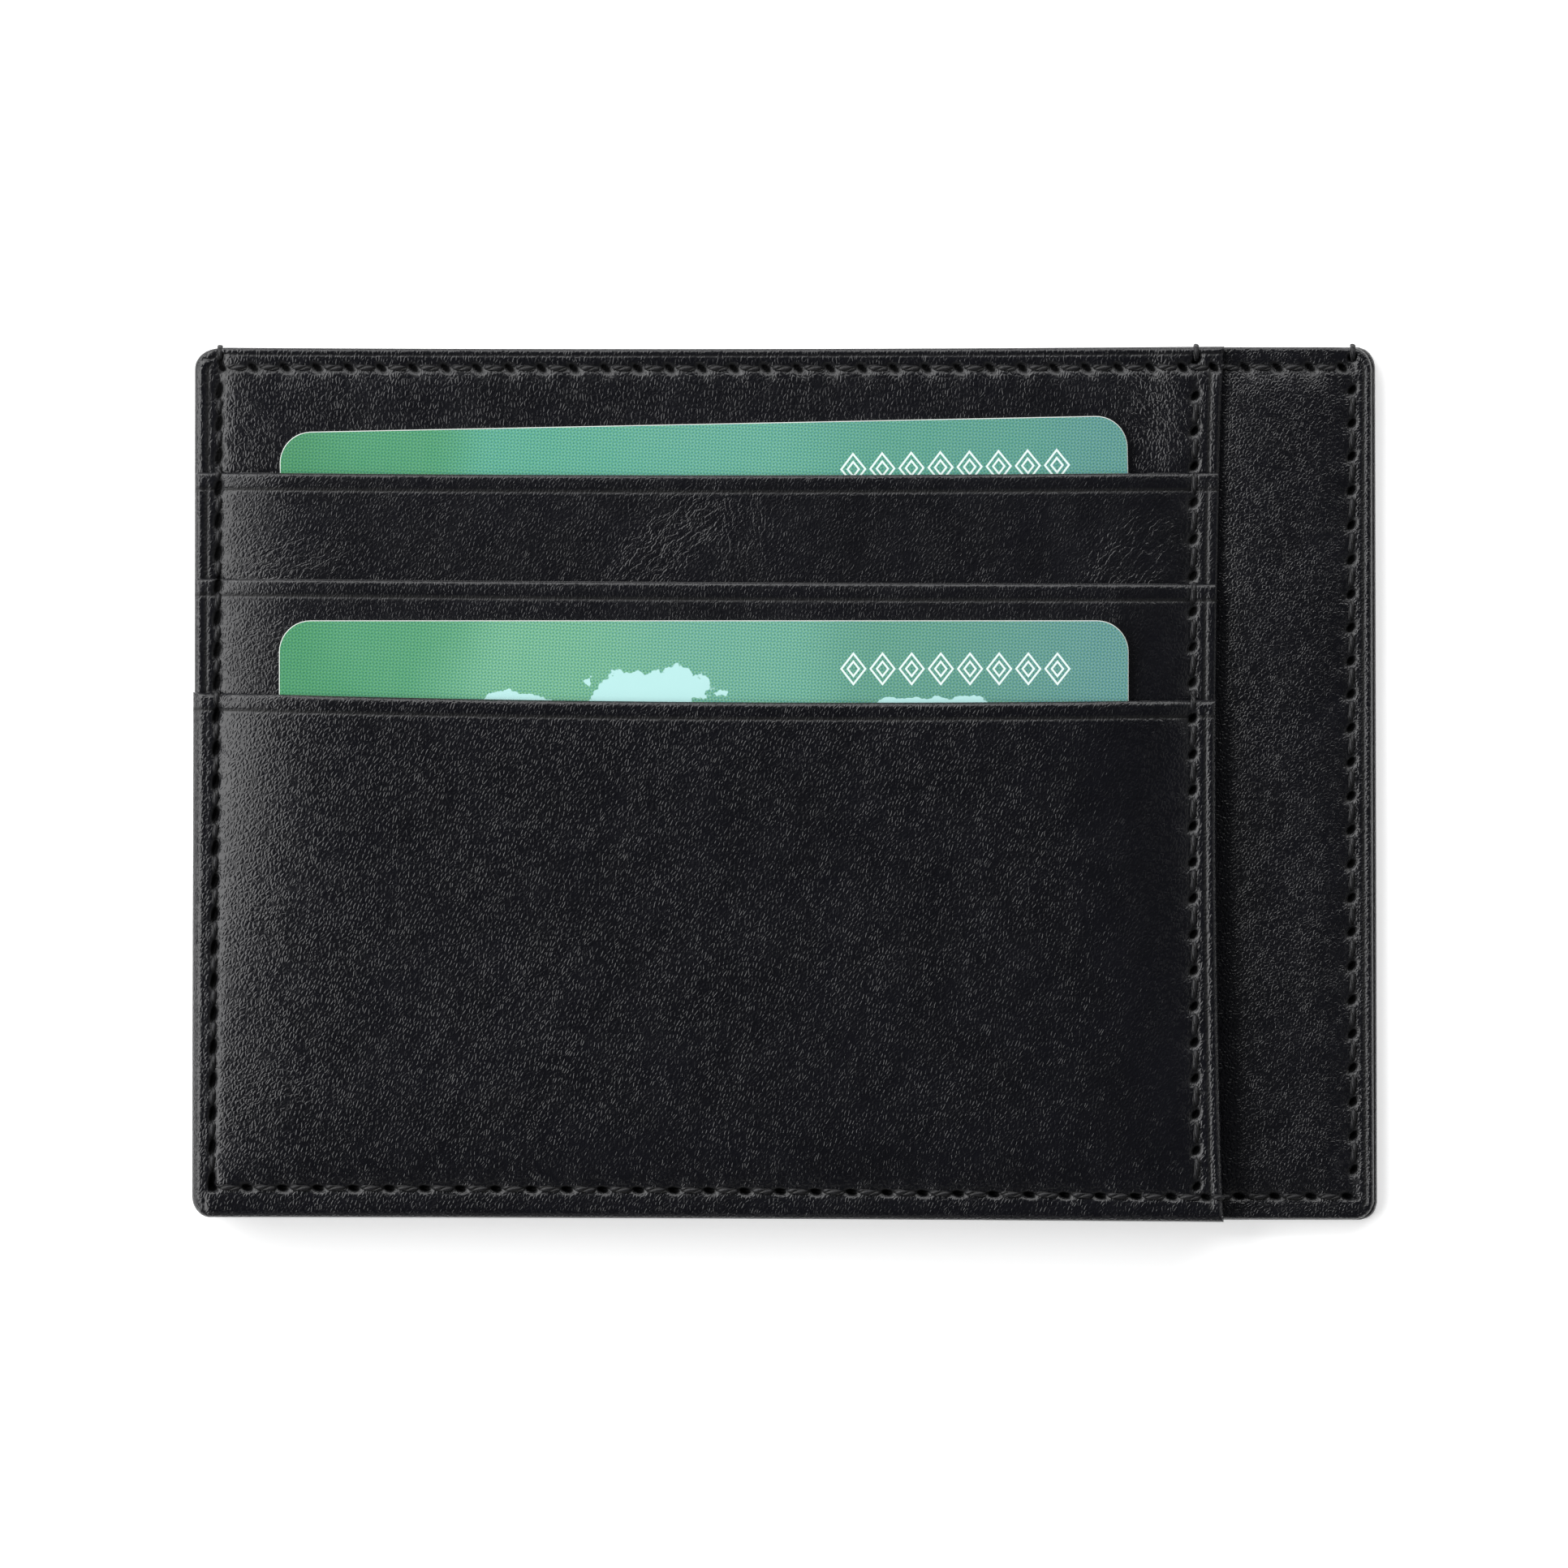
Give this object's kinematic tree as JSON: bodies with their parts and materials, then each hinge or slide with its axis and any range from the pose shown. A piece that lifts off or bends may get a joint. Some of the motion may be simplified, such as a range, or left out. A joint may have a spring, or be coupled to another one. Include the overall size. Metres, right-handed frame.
{
  "type": "card holder",
  "caption": "Slim leather card holder with stepped card pockets, a strip beside them and a note compartment behind, holding two cards.",
  "frame": {"origin": "centre of the footprint, on the back face that the holder lies on", "axes": "+X to the right along the width, +Y towards the pocket mouths, +Z out of the front"},
  "size_m": [0.1196, 0.0882, 0.0069],
  "materials": {
    "black_leather": "fine-grained, satin",
    "black_textile": "plain woven lining",
    "stiffening_board": "bonded leather board",
    "reinforcing_tape": "non-woven tape",
    "black_thread": "bonded, twisted",
    "printed_card": "printed and laminated"
  },
  "bodies": {
    "holder": {"back_panel": "black_leather", "back_board": "stiffening_board", "back_lining": "black_textile", "left_turned_edge": "black_leather", "right_turned_edge": "black_leather", "bottom_turned_edge": "black_leather", "front_lining": "black_textile", "front_base_panel": "black_leather", "upper_panel": "black_leather", "first_pocket_leather": "black_leather", "first_pocket_mouth_tape": "reinforcing_tape", "first_pocket_lining": "black_textile", "second_pocket_leather": "black_leather", "second_pocket_mouth_tape": "reinforcing_tape", "second_pocket_lining": "black_textile", "front_pocket_leather": "black_leather", "front_pocket_mouth_tape": "reinforcing_tape", "front_pocket_lining": "black_textile", "first_slot_closing_tape": "black_textile", "second_slot_closing_tape": "black_textile", "left_seam_allowance": "black_leather", "right_seam_allowance": "black_leather", "bottom_seam_allowance": "black_leather", "perimeter_thread": "black_thread", "pocket_block_thread": "black_thread", "front_hem_thread": "black_thread", "back_hem_thread": "black_thread", "first_slot_floor_thread": "black_thread", "second_slot_floor_thread": "black_thread"},
    "upper_card_body": {"upper_card": "printed_card"},
    "lower_card_body": {"lower_card": "printed_card"}
  },
  "joints": [
    {"name": "upper_card_slide", "type": "slide", "parent": "holder", "child": "upper_card_body", "axis": [-0.0201, 0.9998, 0], "range_m": [0, 0.0495]},
    {"name": "lower_card_slide", "type": "slide", "parent": "holder", "child": "lower_card_body", "axis": [0, 1, 0], "range_m": [-0.0025, 0.046]}
  ]
}
